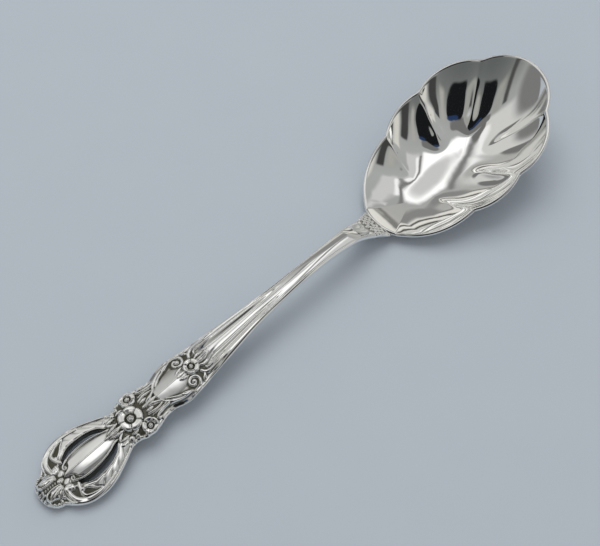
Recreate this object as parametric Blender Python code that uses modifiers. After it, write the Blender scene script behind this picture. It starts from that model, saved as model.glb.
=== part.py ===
"""Sugar spoon: a fluted shell bowl brazed into the seat of a pierced, die-struck handle.

Metres, +Z up, +X from the handle's tip to the bowl's tip, lying on the plane z = 0.
"""

import math

import bmesh
import bpy
from mathutils import Matrix, Vector

# Handle outline: the lengths that follow one another from the tip, and the half-widths between them.
FINIAL_BULGE_LENGTH = 0.0018
FINIAL_NECK_LENGTH = 0.0016
SCROLL_LENGTH = 0.0030
SWELL_LENGTH = 0.0053
TAPER_LENGTH = 0.0109
CLUSTER_RISE_LENGTH = 0.0049
CLUSTER_FALL_LENGTH = 0.0061
MEDALLION_RISE_LENGTH = 0.0044
MEDALLION_FALL_LENGTH = 0.0120
STEM_TAPER_LENGTH = 0.0305
STEM_END_LENGTH = 0.0105
NECK_LENGTH = 0.0105
TIP_HALF_WIDTH = 0.0018
FINIAL_HALF_WIDTH = 0.0042
FINIAL_NECK_HALF_WIDTH = 0.0046
SCROLL_HALF_WIDTH = 0.0073
SWELL_HALF_WIDTH = 0.0087
WAIST_HALF_WIDTH = 0.0048
CLUSTER_HALF_WIDTH = 0.0060
MEDALLION_WAIST_HALF_WIDTH = 0.0047
MEDALLION_HALF_WIDTH = 0.0057
SHOULDER_HALF_WIDTH = 0.0042
STEM_HALF_WIDTH = 0.0014
STEM_END_HALF_WIDTH = 0.0018
NECK_HALF_WIDTH = 0.0044

# Handle heights above the table, of the plate's upper edge, and its thickness.
TIP_HEIGHT = 0.0017
WAIST_HEIGHT = 0.0044
SHOULDER_HEIGHT = 0.0068
ARCH_HEIGHT = 0.0094
STEM_END_HEIGHT = 0.0087
NECK_HEIGHT = 0.0038
PLATE_THICKNESS = 0.0019
STEM_THICKNESS = 0.0023
EDGE_ROUNDING = 0.0005

# Stem moulding: a centre rib and two outer ribs with grooves between them.
RIB_HEIGHT = 0.0004
RIB_PITCH = 0.78  # of the half-width

# The crowned panel of the handle's end, its moulded rim, and the slots pierced beside it.
PANEL_LEAD = 0.0032  # from the finial's neck
PANEL_LENGTH = 0.0152
PANEL_HALF_WIDTH = 0.0037
PANEL_SKEW = 0.8  # below 1 the panel is fullest towards the tip
PANEL_CROWN = 0.0014
MOULDING_RADIUS = 0.00036
SLOT_END_MARGIN = 0.0020  # from each end of the panel to the slot's end
SLOT_WIDTH = 0.00135
SLOT_ROUNDING = 0.4

# Medallion: a plain convex field in a scrolled border.
FIELD_LENGTH = 0.0108
FIELD_HALF_WIDTH = 0.0032
FIELD_CROWN = 0.0009
VOLUTE_LEAD = 0.0035  # from the medallion's widest place
VOLUTE_OFFSET = 0.0030
VOLUTE_RADIUS = 0.0011
VOLUTE_WIRE = 0.00034
VOLUTE_TURNS = 1.1
VOLUTE_START = math.radians(126)

# Blossoms.
PETALS = 5
BLOSSOM_RELIEF = 0.0007
BLOSSOM_TURN = math.radians(20)
PETAL_REACH = 0.60  # of the blossom's radius, and so are the next three
PETAL_LENGTH = 0.40
PETAL_WIDTH = 0.42
BOSS_RADIUS = 0.30
BOSS_RELIEF = 1.3  # of the petals' relief
GREAT_BLOSSOM_LEAD = 0.0031  # from the waist
GREAT_BLOSSOM_RADIUS = 0.0029
SIDE_BLOSSOM_LEAD = 0.0054  # from the waist
SIDE_BLOSSOM_OFFSET = 0.0039
SIDE_BLOSSOM_RADIUS = 0.00185
CROWN_BLOSSOM_LEAD = 0.0051  # from the medallion's widest place
CROWN_BLOSSOM_RADIUS = 0.0019

# Finial shell, its row of beads, and the scrolls beside it.
BEADS = 5
BEAD_RADIUS = 0.00038
BEAD_LIFT = 0.33  # of its radius, from the face to its centre
BEAD_ROW_START = 0.0010
BEAD_ROW_LENGTH = 0.0044
SHELL_LEAVES = 3  # on each side of the beads
SHELL_LEAF_LENGTH = 0.0021
SHELL_LEAF_WIDTH = 0.0007
SHELL_FIRST_LEAF = math.radians(24)
SHELL_LEAF_PITCH = math.radians(26)
SCROLL_LEAD = 0.0032  # from the finial's neck
SCROLL_OFFSET = 0.0043
SCROLL_RADIUS = 0.0019
SCROLL_WIRE = 0.0005
SCROLL_TURNS = 1.2
SCROLL_START = math.radians(23)
WIRE_THINNING = 0.4
SPIRAL_CLOSING = 0.75

# Bowl rim in plan: distance of each notch from the bowl's rear edge, and its half-width there.
SHOULDER_NOTCH_AT = 0.0025
SHOULDER_NOTCH_HALF_WIDTH = 0.0064
REAR_NOTCH_AT = 0.0173
REAR_NOTCH_HALF_WIDTH = 0.01435
SIDE_NOTCH_AT = 0.0300
SIDE_NOTCH_HALF_WIDTH = 0.0163
TIP_NOTCH_AT = 0.0453
TIP_NOTCH_HALF_WIDTH = 0.01025
NECK_RISE = 0.0025  # height of each lobe's arc over the chord between its notches
REAR_LOBE_RISE = 0.0020
MIDDLE_LOBE_RISE = 0.00165
FRONT_LOBE_RISE = 0.00285
TIP_LOBE_RISE = 0.0068

# Bowl surface: heights are of the inner face.
BOWL_FOCUS = 0.0245  # where the flutes run out, from the bowl's rear edge
BOWL_WALL = 0.0010
RIM_REAR_HEIGHT = 0.0026
RIM_SLOPE = 0.30
FLOOR_HEIGHT = 0.00098
FLOOR_AT = 0.0120
FLOOR_REAR_RISE = 0.0023
FLOOR_FRONT_RISE = 0.0088
WALL_POWER = 2.3
FLUTE_START = 0.30  # shares of the way from the focus to the rim
FLUTE_FULL = 0.70
FLUTE_DEPTH = 0.0010

# The joint between the two: a tongue of the handle under the bowl, with a film of braze.
BRAZE_GAP = 0.0003
TONGUE_LENGTH = 0.0060
TONGUE_HALF_WIDTH = 0.0035
TONGUE_TIP_HALF_WIDTH = 0.0012
TONGUE_HEIGHT = 0.0007  # of its underside above the table
TONGUE_TIP_HEIGHT = 0.0004
SEAT_CLEARANCE = 0.0025  # cleared over the bowl's inner face

# Facets.
HANDLE_STEPS = 76
HANDLE_STRIPS = 14
TIP_CROWDING = 1.25  # above 1 the facets are shorter towards the tip
LOBE_STEPS = 8
BOWL_RINGS = 9
ARC_STEPS = 12
BALL_SEGMENTS = 8
BALL_RINGS = 6
SHARP_EDGE = math.radians(35)
MERGE_DISTANCE = 1e-6

SILVER = (0.80, 0.80, 0.77, 1.0)
SILVER_ROUGHNESS = 0.12

NOTCH_AT = FINIAL_BULGE_LENGTH + FINIAL_NECK_LENGTH
SCROLL_AT = NOTCH_AT + SCROLL_LENGTH
SWELL_AT = SCROLL_AT + SWELL_LENGTH
WAIST_AT = SWELL_AT + TAPER_LENGTH
CLUSTER_AT = WAIST_AT + CLUSTER_RISE_LENGTH
MEDALLION_WAIST_AT = CLUSTER_AT + CLUSTER_FALL_LENGTH
MEDALLION_AT = MEDALLION_WAIST_AT + MEDALLION_RISE_LENGTH
SHOULDER_AT = MEDALLION_AT + MEDALLION_FALL_LENGTH
STEM_AT = SHOULDER_AT + STEM_TAPER_LENGTH
STEM_END_AT = STEM_AT + STEM_END_LENGTH
HANDLE_LENGTH = STEM_END_AT + NECK_LENGTH  # tip to the bowl's rear edge
BLANK_LENGTH = HANDLE_LENGTH + TONGUE_LENGTH
BOWL_LENGTH = TIP_NOTCH_AT + TIP_LOBE_RISE
OVERALL_LENGTH = HANDLE_LENGTH + BOWL_LENGTH
PANEL_START = NOTCH_AT + PANEL_LEAD
FIELD_START = MEDALLION_AT - FIELD_LENGTH / 2
VOLUTE_AT = MEDALLION_AT + VOLUTE_LEAD

OUTLINE = (
    (0.0, TIP_HALF_WIDTH),
    (FINIAL_BULGE_LENGTH, FINIAL_HALF_WIDTH),
    (NOTCH_AT, FINIAL_NECK_HALF_WIDTH),
    (SCROLL_AT, SCROLL_HALF_WIDTH),
    (SWELL_AT, SWELL_HALF_WIDTH),
    (WAIST_AT, WAIST_HALF_WIDTH),
    (CLUSTER_AT, CLUSTER_HALF_WIDTH),
    (MEDALLION_WAIST_AT, MEDALLION_WAIST_HALF_WIDTH),
    (MEDALLION_AT, MEDALLION_HALF_WIDTH),
    (SHOULDER_AT, SHOULDER_HALF_WIDTH),
    (STEM_AT, STEM_HALF_WIDTH),
    (STEM_END_AT, STEM_END_HALF_WIDTH),
    (HANDLE_LENGTH, NECK_HALF_WIDTH),
    (HANDLE_LENGTH + TONGUE_LENGTH / 2, TONGUE_HALF_WIDTH),
    (BLANK_LENGTH, TONGUE_TIP_HALF_WIDTH),
)
UPPER_EDGE = (
    (0.0, TIP_HEIGHT),
    (WAIST_AT, WAIST_HEIGHT),
    (SHOULDER_AT, SHOULDER_HEIGHT),
    (STEM_AT, ARCH_HEIGHT),
    (STEM_END_AT, STEM_END_HEIGHT),
    (HANDLE_LENGTH, NECK_HEIGHT),
    (BLANK_LENGTH, NECK_HEIGHT - BOWL_WALL),
)
LOWER_EDGE = (
    (0.0, TIP_HEIGHT - PLATE_THICKNESS),
    (WAIST_AT, WAIST_HEIGHT - PLATE_THICKNESS),
    (SHOULDER_AT, SHOULDER_HEIGHT - PLATE_THICKNESS),
    (STEM_AT, ARCH_HEIGHT - STEM_THICKNESS),
    (STEM_END_AT, STEM_END_HEIGHT - STEM_THICKNESS),
    (HANDLE_LENGTH, NECK_HEIGHT - STEM_THICKNESS),
    (HANDLE_LENGTH + TONGUE_LENGTH / 2, TONGUE_HEIGHT),
    (BLANK_LENGTH, TONGUE_TIP_HEIGHT),
)


def smooth_curve(stations, at):
    """Value at one place of a curve that passes through the stations without overshooting them."""
    slopes = []
    for (x0, y0), (x1, y1) in zip(stations, stations[1:]):
        slopes.append((y1 - y0) / (x1 - x0))
    tangents = [slopes[0]]
    for before, after in zip(slopes, slopes[1:]):
        level = before * after <= 0
        tangents.append(0.0 if level else 2 * before * after / (before + after))
    tangents.append(slopes[-1])
    i = 0
    while i < len(slopes) - 1 and at > stations[i + 1][0]:
        i += 1
    (x0, y0), (x1, y1) = stations[i : i + 2]
    span = x1 - x0
    t = min(1.0, max(0.0, (at - x0) / span))
    rise = y0 + (y1 - y0) * t * t * (3 - 2 * t)
    return rise + span * t * (1 - t) * (tangents[i] * (1 - t) - tangents[i + 1] * t)


def ease(start, end, at):
    t = min(1.0, max(0.0, (at - start) / (end - start)))
    return t * t * (3 - 2 * t)


def dome(start, length, at, skew=1.0):
    """0 at both ends of a stretch, rising to 1 between them."""
    t = min(1.0, max(0.0, (at - start) / length))
    return max(0.0, math.sin(math.pi * t**skew))


def crown(y, half):
    return max(0.0, 1 - (y / half) ** 2) if half > 0 else 0.0


def half_width(x):
    return smooth_curve(OUTLINE, x)


def panel_half(x):
    """Half-width of the panel between the slots."""
    return PANEL_HALF_WIDTH * math.sqrt(dome(PANEL_START, PANEL_LENGTH, x, PANEL_SKEW))


def field_half(x):
    """Half-width of the medallion's plain field."""
    return FIELD_HALF_WIDTH * math.sqrt(dome(FIELD_START, FIELD_LENGTH, x))


def upper(x, y):
    """Height of the handle's struck face."""
    across = y / half_width(x)
    height = smooth_curve(UPPER_EDGE, x) - EDGE_ROUNDING * abs(across) ** 6
    panel = dome(PANEL_START, PANEL_LENGTH, x, PANEL_SKEW)
    height += PANEL_CROWN * panel * crown(y, panel_half(x))
    height += FIELD_CROWN * dome(FIELD_START, FIELD_LENGTH, x) * crown(y, field_half(x))
    ribbed = ease(VOLUTE_AT, SHOULDER_AT, x) * ease(HANDLE_LENGTH, STEM_END_AT, x)
    return height + RIB_HEIGHT * ribbed * math.cos(2 * math.pi * across / RIB_PITCH)


def lower(x, y):
    """Height of the handle's plain back, rounded to its edges."""
    across = y / half_width(x)
    return smooth_curve(LOWER_EDGE, x) + EDGE_ROUNDING * abs(across) ** 4


def on_face(x, y):
    return Vector((x, y, upper(x, y)))


def collection_named(name):
    made = bpy.data.collections.new(name)
    bpy.context.scene.collection.children.link(made)
    return made


def silver(name):
    material = bpy.data.materials.new(name)
    material.use_nodes = True
    shader = material.node_tree.nodes["Principled BSDF"]
    shader.inputs["Base Color"].default_value = SILVER
    shader.inputs["Metallic"].default_value = 1.0
    shader.inputs["Roughness"].default_value = SILVER_ROUGHNESS
    return material


def object_from(bm, name, collection):
    mesh = bpy.data.meshes.new(name)
    bm.to_mesh(mesh)
    bm.free()
    made = bpy.data.objects.new(name, mesh)
    made.parent = spoon
    collection.objects.link(made)
    return made


def helper_from(bm, name):
    made = object_from(bm, name, cutters)
    made.hide_render = True
    made.display_type = "WIRE"
    return made


def boolean(target, other, operation, overlapping=False):
    modifier = target.modifiers.new(other.name, "BOOLEAN")
    modifier.object = other
    modifier.operation = operation
    modifier.solver = "EXACT"
    modifier.use_self = overlapping


def thicken(made, below, above):
    modifier = made.modifiers.new("wall", "SOLIDIFY")
    modifier.thickness = below + above
    modifier.offset = (above - below) / (above + below)
    modifier.use_quality_normals = True


def surface(made, material):
    made.data.materials.append(material)
    made.data.shade_smooth()
    made.data.set_sharp_from_angle(angle=SHARP_EDGE)


def add_curve(bm, curve, points):
    """The solid of a curve through the points, as welded faces in bm."""
    spline = curve.splines.new("POLY")
    spline.points.add(len(points) - 1)
    for i, (point, place) in enumerate(zip(spline.points, points)):
        point.co = (*place, 1.0)
        point.radius = 1 - WIRE_THINNING * i / (len(points) - 1)
    spline.use_cyclic_u = curve.dimensions == "2D"
    guide = bpy.data.objects.new("guide", curve)
    cutters.objects.link(guide)
    graph = bpy.context.evaluated_depsgraph_get()
    bm.from_mesh(bpy.data.meshes.new_from_object(guide.evaluated_get(graph)))
    bpy.data.objects.remove(guide)
    bmesh.ops.remove_doubles(bm, verts=bm.verts[:], dist=MERGE_DISTANCE)
    bmesh.ops.recalc_face_normals(bm, faces=bm.faces[:])


def add_wire(bm, points, radius):
    """A round moulding along the points, thinning to its last one."""
    curve = bpy.data.curves.new("moulding", "CURVE")
    curve.dimensions = "3D"
    curve.bevel_depth = radius
    curve.bevel_resolution = 1
    curve.use_fill_caps = True
    add_curve(bm, curve, points)


def add_spiral(bm, x, y, radius, wire, turns, start, hand):
    """A volute on the struck face, wound inwards from its start angle."""
    points = []
    for i in range(ARC_STEPS + 1):
        t = i / ARC_STEPS
        angle = hand * (start + 2 * math.pi * turns * t)
        reach = radius * (1 - SPIRAL_CLOSING * t)
        points.append(on_face(x + reach * math.cos(angle), y + reach * math.sin(angle)))
    add_wire(bm, points, wire)


def add_rim(bm, start, length, half, side):
    """The moulded rim of a panel, on one side of it."""
    points = []
    for i in range(1, ARC_STEPS):
        x = start + length * i / ARC_STEPS
        points.append(on_face(x, side * (half(x) - MOULDING_RADIUS)))
    add_wire(bm, points, MOULDING_RADIUS)


def add_ellipsoid(bm, centre, radii, turn=0.0):
    place = Matrix.Translation(centre) @ Matrix.Rotation(turn, 4, "Z") @ Matrix.Diagonal((*radii, 1.0))
    bmesh.ops.create_uvsphere(
        bm, u_segments=BALL_SEGMENTS, v_segments=BALL_RINGS, radius=1.0, matrix=place
    )


def add_blossom(bm, x, y, radius):
    centre = on_face(x, y)
    for petal in range(PETALS):
        turn = BLOSSOM_TURN + 2 * math.pi * petal / PETALS
        out = Vector((math.cos(turn), math.sin(turn), 0.0)) * PETAL_REACH * radius
        add_ellipsoid(bm, centre + out, (PETAL_LENGTH * radius, PETAL_WIDTH * radius, BLOSSOM_RELIEF), turn)
    add_ellipsoid(bm, centre, (BOSS_RADIUS * radius, BOSS_RADIUS * radius, BOSS_RELIEF * BLOSSOM_RELIEF))


def add_finial(bm):
    """A shell of leaves that fan from the end of the bead row."""
    for bead in range(BEADS):
        x = BEAD_ROW_START + BEAD_ROW_LENGTH * bead / (BEADS - 1)
        add_ellipsoid(bm, on_face(x, 0.0) + Vector((0.0, 0.0, BEAD_LIFT * BEAD_RADIUS)), (BEAD_RADIUS,) * 3)
    root = BEAD_ROW_START + BEAD_ROW_LENGTH
    for side in (-1, 1):
        for leaf in range(SHELL_LEAVES):
            turn = math.pi - side * (SHELL_FIRST_LEAF + SHELL_LEAF_PITCH * leaf)
            x = root + SHELL_LEAF_LENGTH * math.cos(turn)
            y = SHELL_LEAF_LENGTH * math.sin(turn)
            add_ellipsoid(bm, on_face(x, y), (SHELL_LEAF_LENGTH, SHELL_LEAF_WIDTH, BLOSSOM_RELIEF), turn)


def ornament():
    """The main raised forms of the struck face."""
    bm = bmesh.new()
    add_finial(bm)
    add_blossom(bm, WAIST_AT + GREAT_BLOSSOM_LEAD, 0.0, GREAT_BLOSSOM_RADIUS)
    add_blossom(bm, MEDALLION_AT + CROWN_BLOSSOM_LEAD, 0.0, CROWN_BLOSSOM_RADIUS)
    for side in (-1, 1):
        add_blossom(bm, WAIST_AT + SIDE_BLOSSOM_LEAD, side * SIDE_BLOSSOM_OFFSET, SIDE_BLOSSOM_RADIUS)
        add_spiral(
            bm, NOTCH_AT + SCROLL_LEAD, side * SCROLL_OFFSET,
            SCROLL_RADIUS, SCROLL_WIRE, SCROLL_TURNS, SCROLL_START, side,
        )
        add_spiral(
            bm, VOLUTE_AT, side * VOLUTE_OFFSET,
            VOLUTE_RADIUS, VOLUTE_WIRE, VOLUTE_TURNS, VOLUTE_START, side,
        )
        add_rim(bm, PANEL_START, PANEL_LENGTH, panel_half, side)
        add_rim(bm, FIELD_START, FIELD_LENGTH, field_half, side)
    return helper_from(bm, "ornament")


def slot_cutter(side):
    """A crescent through the plate, along the panel's edge."""
    start = PANEL_START + SLOT_END_MARGIN
    length = PANEL_LENGTH - 2 * SLOT_END_MARGIN
    inner = []
    outer = []
    for i in range(ARC_STEPS + 1):
        x = start + length * i / ARC_STEPS
        edge = panel_half(x)
        width = SLOT_WIDTH * math.sin(math.pi * (i + 0.5) / (ARC_STEPS + 1)) ** SLOT_ROUNDING
        inner.append((x, side * edge, 0.0))
        outer.append((x, side * (edge + width), 0.0))
    curve = bpy.data.curves.new("slot", "CURVE")
    curve.dimensions = "2D"
    curve.fill_mode = "BOTH"
    curve.extrude = ARCH_HEIGHT
    bm = bmesh.new()
    add_curve(bm, curve, inner + outer[::-1])
    return helper_from(bm, "slot_left" if side > 0 else "slot_right")


def handle_blank():
    """A slab between the struck face and the back: a flat grid is extruded, then pressed to shape."""
    bm = bmesh.new()
    bmesh.ops.create_grid(bm, x_segments=HANDLE_STEPS, y_segments=HANDLE_STRIPS, size=1.0)
    back = set(bm.verts)
    bmesh.ops.extrude_face_region(bm, geom=bm.faces[:])
    for vert in bm.verts:
        x = BLANK_LENGTH * ((vert.co.x + 1) / 2) ** TIP_CROWDING
        y = half_width(x) * vert.co.y
        vert.co = (x, y, lower(x, y) if vert in back else upper(x, y))
    bmesh.ops.recalc_face_normals(bm, faces=bm.faces[:])
    return object_from(bm, "handle", parts)


def arc(start, end, rise):
    """Points of an arc from start to just before end, which bulges to the right of the way there."""
    chord = end - start
    half = chord.length / 2
    radius = (half * half + rise * rise) / (2 * rise)
    outward = Vector((chord.y, -chord.x)).normalized()
    centre = (start + end) / 2 + outward * (rise - radius)
    reach = 4 * math.atan2(rise, half)
    points = []
    for i in range(LOBE_STEPS):
        points.append(centre + Matrix.Rotation(reach * i / LOBE_STEPS, 2) @ (start - centre))
    return points


def rim_points():
    """The rim in plan about the focus, anticlockwise from the neck: (point, place in its lobe, fluted)."""
    right = []
    for along, aside in (
        (SHOULDER_NOTCH_AT, SHOULDER_NOTCH_HALF_WIDTH),
        (REAR_NOTCH_AT, REAR_NOTCH_HALF_WIDTH),
        (SIDE_NOTCH_AT, SIDE_NOTCH_HALF_WIDTH),
        (TIP_NOTCH_AT, TIP_NOTCH_HALF_WIDTH),
    ):
        right.append(Vector((along - BOWL_FOCUS, -aside)))
    left = [Vector((p.x, -p.y)) for p in reversed(right)]
    notches = right + left
    side_rises = [REAR_LOBE_RISE, MIDDLE_LOBE_RISE, FRONT_LOBE_RISE]
    rises = side_rises + [TIP_LOBE_RISE] + side_rises[::-1] + [NECK_RISE]
    rim = []
    for i, rise in enumerate(rises):
        fluted = i < len(rises) - 1
        for step, point in enumerate(arc(notches[i], notches[(i + 1) % len(notches)], rise)):
            rim.append((point, 2 * step / LOBE_STEPS - 1, fluted))
    return rim


def floor_height(x):
    """The bowl's keel line, from the focus: lowest near the rear, rising to both ends."""
    away = x + BOWL_FOCUS - FLOOR_AT
    if away < 0:
        return FLOOR_HEIGHT + FLOOR_REAR_RISE * (away / FLOOR_AT) ** 2
    return FLOOR_HEIGHT + FLOOR_FRONT_RISE * (away / (BOWL_LENGTH - FLOOR_AT)) ** 2


def bowl_sheet(grown):
    """The bowl's inner face: a radial line is spun into a disc, then pressed to the fluted form."""
    rim = rim_points()
    reach = LOBE_STEPS // 2
    even = []
    for i in range(len(rim)):
        near = [rim[(i + k) % len(rim)][0].length for k in range(-reach, reach + 1)]
        even.append(sum(near) / len(near))
    bm = bmesh.new()
    line = [bm.verts.new((ring / BOWL_RINGS, 0.0, 0.0)) for ring in range(BOWL_RINGS + 1)]
    edges = [bm.edges.new(pair) for pair in zip(line, line[1:])]
    bmesh.ops.spin(
        bm, geom=line + edges, axis=(0, 0, 1), cent=(0, 0, 0), angle=2 * math.pi, steps=len(rim)
    )
    bmesh.ops.remove_doubles(bm, verts=bm.verts[:], dist=MERGE_DISTANCE)
    for vert in bm.verts:
        s = math.hypot(vert.co.x, vert.co.y)
        i = round(math.atan2(vert.co.y, vert.co.x) / (2 * math.pi) * len(rim)) % len(rim)
        point, place, fluted = rim[i]
        fluting = ease(FLUTE_START, FLUTE_FULL, s)
        length = even[i] + (point.length - even[i]) * fluting + grown
        x, y = point.normalized() * length * s
        rim_height = RIM_REAR_HEIGHT + RIM_SLOPE * (point.x + BOWL_FOCUS)
        wall = max(0.0, rim_height - floor_height(point.x))
        z = floor_height(x) + wall * s**WALL_POWER
        if fluted:
            z -= FLUTE_DEPTH * (1 - place * place) * fluting * ease(1.0, FLUTE_FULL, s)
        vert.co = (x + HANDLE_LENGTH + BOWL_FOCUS, y, z)
    bm.normal_update()
    if sum(face.normal.z for face in bm.faces) < 0:
        bmesh.ops.reverse_faces(bm, faces=bm.faces[:])
    return bm


def table_cutter():
    """A block under the plane the spoon lies on, which leaves its small flats."""
    bm = bmesh.new()
    size = Matrix.Diagonal((2 * OVERALL_LENGTH, OVERALL_LENGTH, OVERALL_LENGTH, 1.0))
    place = Matrix.Translation((OVERALL_LENGTH / 2, 0.0, -OVERALL_LENGTH / 2))
    bmesh.ops.create_cube(bm, size=1.0, matrix=place @ size)
    return helper_from(bm, "table")


for old in list(bpy.data.objects):
    bpy.data.objects.remove(old)

parts = collection_named("sugar_spoon")
cutters = collection_named("cutters")
spoon = bpy.data.objects.new("spoon_centre", None)
parts.objects.link(spoon)
table = table_cutter()

bowl = object_from(bowl_sheet(0.0), "bowl", parts)
thicken(bowl, BOWL_WALL, 0.0)
boolean(bowl, table, "DIFFERENCE")
surface(bowl, silver("polished_silver"))
graph = bpy.context.evaluated_depsgraph_get()
bowl_tip = max(corner[0] for corner in bowl.evaluated_get(graph).bound_box)
spoon.location.x = -bowl_tip / 2

seat = helper_from(bowl_sheet(BRAZE_GAP), "bowl_seat")
thicken(seat, BOWL_WALL + BRAZE_GAP, SEAT_CLEARANCE)
relief = ornament()
slots = [slot_cutter(side) for side in (-1, 1)]

handle = handle_blank()
boolean(handle, relief, "UNION", overlapping=True)
for cutter in (*slots, seat, table):
    boolean(handle, cutter, "DIFFERENCE")
surface(handle, silver("struck_silver"))
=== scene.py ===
"""A pierced and struck sugar spoon with a fluted shell bowl, lying on a pale studio floor."""

import math

import bmesh
import bpy
import numpy as np
from mathutils import Matrix, Vector


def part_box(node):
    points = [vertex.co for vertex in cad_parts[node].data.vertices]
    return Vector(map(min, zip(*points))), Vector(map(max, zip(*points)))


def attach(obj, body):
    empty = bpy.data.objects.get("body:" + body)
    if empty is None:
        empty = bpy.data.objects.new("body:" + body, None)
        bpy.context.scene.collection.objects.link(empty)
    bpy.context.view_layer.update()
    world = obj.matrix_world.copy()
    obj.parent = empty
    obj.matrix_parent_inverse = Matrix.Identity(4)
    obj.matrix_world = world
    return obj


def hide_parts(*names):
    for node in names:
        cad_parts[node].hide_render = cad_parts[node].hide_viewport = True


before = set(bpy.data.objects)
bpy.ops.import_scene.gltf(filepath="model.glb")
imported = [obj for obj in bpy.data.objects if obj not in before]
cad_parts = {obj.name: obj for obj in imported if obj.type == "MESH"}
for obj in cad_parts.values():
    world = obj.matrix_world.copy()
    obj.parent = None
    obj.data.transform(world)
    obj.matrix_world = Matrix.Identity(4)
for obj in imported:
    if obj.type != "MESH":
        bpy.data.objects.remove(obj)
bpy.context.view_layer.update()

# The bowl: a disc of silver pressed into a shell of seven flutes, with its rim trimmed to their lobes,
# rounded over and polished bright. It lies on the tongue of the handle and is brazed to it.
MM = 0.001
TIP_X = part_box("handle")[0].x  # lengths below are in millimetres from the handle's tip

NOTCHES = ((104.0, 6.4), (118.8, 14.35), (131.5, 16.3), (146.8, 10.25))
LOBES = 7
LOBE_RISES = (2.0, 1.65, 2.85)  # of each side lobe's arc over the chord between its notches
TIP_LOBE_RISE = 6.8
NECK_RISE = 2.5
LOBE_STEPS = 56
NOTCH_ROUNDING = 1  # steps of the rim over which its notches are rounded
EVEN_ROUNDING = LOBE_STEPS // 3  # and over which the lobes are evened out on the bowl's floor
SPINE = ((101.0, 112.0), (104.0, 112.4), (118.8, 117.2), (131.5, 127.8), (146.8, 131.5), (154.0, 132.0))
KEEL = (
    (101.0, 3.45), (104.0, 2.4), (107.0, 1.65), (113.5, 0.98), (120.0, 1.25), (130.0, 2.55),
    (140.0, 4.85), (154.0, 9.95),
)
RIM_HEIGHT = ((101.0, 2.5), (105.0, 3.2), (118.8, 7.3), (131.5, 11.4), (146.8, 16.1), (154.0, 18.2))
WALL = 0.95
WALL_POWER = ((101.0, 2.2), (118.8, 2.2), (131.0, 2.1), (139.0, 1.95), (146.0, 2.2), (154.0, 2.45))
RIM_POWER = 5.0
RIM_SHARE = (  # of the wall's height that rises steeply, close to the rim
    (101.0, 0.25), (118.0, 0.24), (131.0, 0.29), (140.0, 0.29), (146.8, 0.38), (154.0, 0.50),
)
FLUTE_START = 0.22
FLUTE_FULL = 0.45
FLUTE_END_ROUNDING = 0.10
RIDGE_RISES = (0.0, 0.45, 1.25, 0.9)  # of the ridge that runs in from each notch
RIDGE_POWER = 2.6
RIDGE_START = 0.20
RIDGE_FULL = 0.50
RIDGE_FADE = 0.72
RIDGE_CRISP = 0.60
RIDGE_ROUNDING = 2  # steps of the rim over which a ridge's edge is rounded, and its inner end
RIDGE_END_ROUNDING = 7
INNER_RINGS = 96
EDGE_RINGS = 6
OUTER_RINGS = 48
HUB = 0.02  # the spun profile starts this far from its axis, so that every ring keeps its turn
WELD = 1e-6


def curve(stations, at):
    """A smooth curve through (place, value) stations without overshoot, at an array of places."""
    places, values = np.array(stations, float).T
    spans = np.diff(places)
    slopes = np.diff(values) / spans
    before, after = slopes[:-1], slopes[1:]
    level = before * after <= 0
    inner = np.where(level, 0.0, 2 * before * after / np.where(level, 1.0, before + after))
    tangents = np.concatenate((slopes[:1], inner, slopes[-1:]))
    at = np.clip(at, places[0], places[-1])
    i = np.clip(np.searchsorted(places, at, side="right") - 1, 0, len(spans) - 1)
    t = (at - places[i]) / spans[i]
    rise = values[i] + np.diff(values)[i] * t * t * (3 - 2 * t)
    return rise + spans[i] * t * (1 - t) * (tangents[i] * (1 - t) - tangents[i + 1] * t)


def ease(start, end, at):
    """0 up to start and 1 from end on, eased between."""
    t = np.clip((at - start) / (end - start), 0.0, 1.0)
    return t * t * (3 - 2 * t)


def lobe_arc(start, end, rise):
    """Points of an arc from start to just before end, bulging to the right of the way there."""
    chord = end - start
    half = chord.length / 2
    radius = (half * half + rise * rise) / (2 * rise)
    outward = Vector((chord.y, -chord.x)).normalized()
    centre = (start + end) / 2 + outward * (rise - radius)
    reach = 4 * math.atan2(rise, half)
    turns = [Matrix.Rotation(reach * i / LOBE_STEPS, 2) for i in range(LOBE_STEPS)]
    return [centre + turn @ (start - centre) for turn in turns]


def rounded(ring, steps):
    """A closed ring of values, averaged twice over some steps to each side."""
    for _ in range(2):
        ring = np.mean([np.roll(ring, k, axis=0) for k in range(-steps, steps + 1)], axis=0)
    return ring


def unit(vectors):
    return vectors / np.linalg.norm(vectors, axis=-1, keepdims=True)


def bowl_rim():
    """The rim in plan, anticlockwise from the neck's right notch: its points, the place of each across
    its flute from -1 to 1, and the height of the ridges there."""
    right = [Vector((x, -y)) for x, y in NOTCHES]
    notches = right + [Vector((p.x, -p.y)) for p in reversed(right)]
    rises = [*LOBE_RISES, TIP_LOBE_RISE, *LOBE_RISES[::-1], NECK_RISE]
    ridges = [*RIDGE_RISES, *RIDGE_RISES[::-1], RIDGE_RISES[0]]
    points = []
    for i, rise in enumerate(rises):
        points += lobe_arc(notches[i], notches[(i + 1) % len(notches)], rise)
    place = np.tile(np.arange(LOBE_STEPS) * 2 / LOBE_STEPS - 1, len(rises))
    lobe = np.repeat(np.arange(len(rises)), LOBE_STEPS)
    ridge = np.array(ridges)[np.where(place < 0, lobe, lobe + 1)]
    place[lobe == len(rises) - 1] = 1.0
    return np.array(points), place, ridge * np.abs(place) ** RIDGE_POWER


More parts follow.
